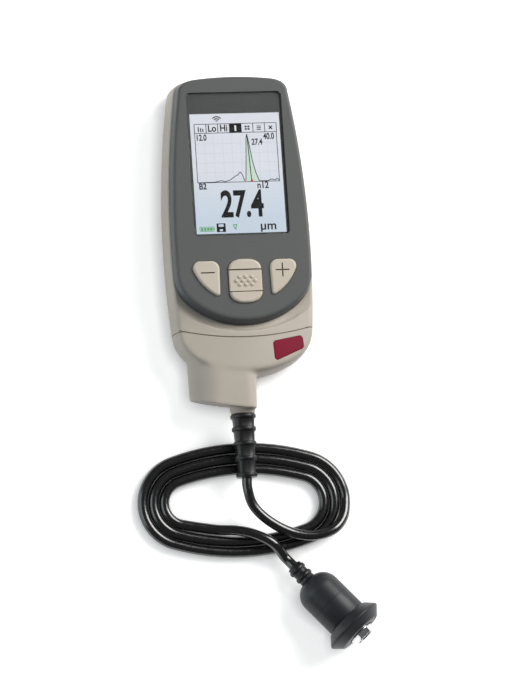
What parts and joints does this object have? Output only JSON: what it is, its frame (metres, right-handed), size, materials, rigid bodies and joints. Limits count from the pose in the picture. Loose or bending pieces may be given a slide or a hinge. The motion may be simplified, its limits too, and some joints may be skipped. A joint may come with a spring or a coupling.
{
  "type": "coating thickness gauge",
  "caption": "Handheld coating thickness gauge with a bowed case, raised faceplate with display and keys, and a slide-on connector with a coiled cable to a flanged probe.",
  "frame": {"origin": "on the back face of the case, at the middle of the body", "axes": "+Z out of the face, +Y to the top end of the body, +X to the right of the face"},
  "size_m": [0.1035, 0.261, 0.0277],
  "materials": {
    "case": "fine matte texture",
    "faceplate": "satin",
    "rubber": "matte",
    "window": "clear, with a dark printed border",
    "display": "lit",
    "holder": "matte",
    "key": "satin",
    "mat": "matte",
    "steel": "plated",
    "board": "varnished",
    "chips": "matte",
    "cell": "gloss",
    "gold": "plated",
    "badge": "gloss",
    "relief": "satin",
    "cable": "gloss",
    "probe": "matte",
    "chrome": "polished",
    "sensor": "matte",
    "dot": "matte"
  },
  "bodies": {
    "base": {"rear_case": "case", "front_shell": "faceplate", "case_seal": "rubber", "display_window": "window", "display_gasket": "rubber", "display_panel": "display", "display_holder": "holder", "keypad_mat": "mat", "dome_switches": "steel", "main_board": "board", "board_chips": "chips", "cell_left": "cell", "cell_middle": "cell", "cell_right": "cell", "cell_springs": "steel", "cell_contacts": "steel", "case_screws": "steel", "rail_contacts": "gold"},
    "minus_key": {"minus_key": "key"},
    "plus_key": {"plus_key": "key"},
    "nav_rocker": {"nav_rocker": "key"},
    "nav_center_key": {"nav_center_key": "key"},
    "battery_door": {"battery_door": "case"},
    "probe_connector": {"connector_cap": "case", "cap_badge": "badge", "module_board": "board", "module_contacts": "gold", "strain_relief": "relief", "probe_cable": "cable", "probe_boot": "relief", "probe_housing": "probe", "probe_guard": "probe", "sensor_holder": "holder", "sensor_ferrule": "chrome", "sensor_face": "sensor", "sensor_dot": "dot", "transducer": "steel"}
  },
  "joints": [
    {"name": "minus_press", "type": "slide", "parent": "base", "child": "minus_key", "axis": [0, 0, -1], "range_m": [0, 0.0007], "stiffness_N_per_m": 1500},
    {"name": "plus_press", "type": "slide", "parent": "base", "child": "plus_key", "axis": [0, 0, -1], "range_m": [0, 0.0007], "stiffness_N_per_m": 1500},
    {"name": "center_press", "type": "slide", "parent": "base", "child": "nav_center_key", "axis": [0, 0, -1], "range_m": [0, 0.0006], "stiffness_N_per_m": 1500},
    {"name": "nav_tip", "type": "hinge", "parent": "base", "child": "nav_rocker", "pos_m": [0, -0.035, 0.0226], "axis": [1, 0, 0], "range_deg": [-2, 2], "stiffness_Nm_per_rad": 0.4},
    {"name": "door_slide", "type": "slide", "parent": "base", "child": "battery_door", "axis": [0, 1, 0], "range_m": [0, 0.074]},
    {"name": "connector_slide", "type": "slide", "parent": "base", "child": "probe_connector", "axis": [-1, 0, 0], "range_m": [0, 0.07]}
  ]
}
